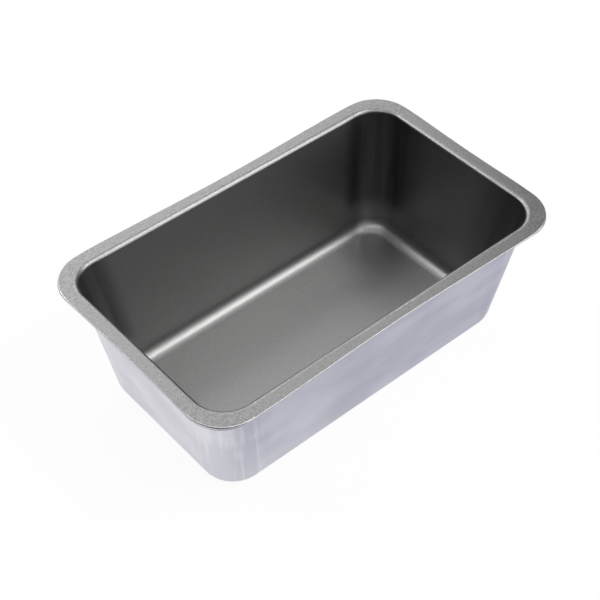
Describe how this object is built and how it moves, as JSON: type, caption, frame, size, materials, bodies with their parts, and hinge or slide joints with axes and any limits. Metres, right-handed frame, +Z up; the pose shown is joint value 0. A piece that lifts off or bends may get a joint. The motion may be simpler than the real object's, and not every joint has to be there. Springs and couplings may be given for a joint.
{
  "type": "loaf pan",
  "caption": "Deep-drawn rectangular loaf pan with leaning walls, rounded corners and a flat trimmed rim, non-stick coated inside and bare steel outside.",
  "frame": {"origin": "centre of the flat base, on the surface that the pan stands on", "axes": "+X along the length, +Y across the width, +Z up out of the open mouth"},
  "size_m": [0.185, 0.113, 0.062],
  "materials": {
    "bare_steel": "bright drawn sheet with soft draw streaks",
    "nonstick": "satin dark grey coating with a fine speckle"
  },
  "bodies": {
    "root": {"pan_shell": "bare_steel", "nonstick_coating": "nonstick"}
  },
  "joints": []
}
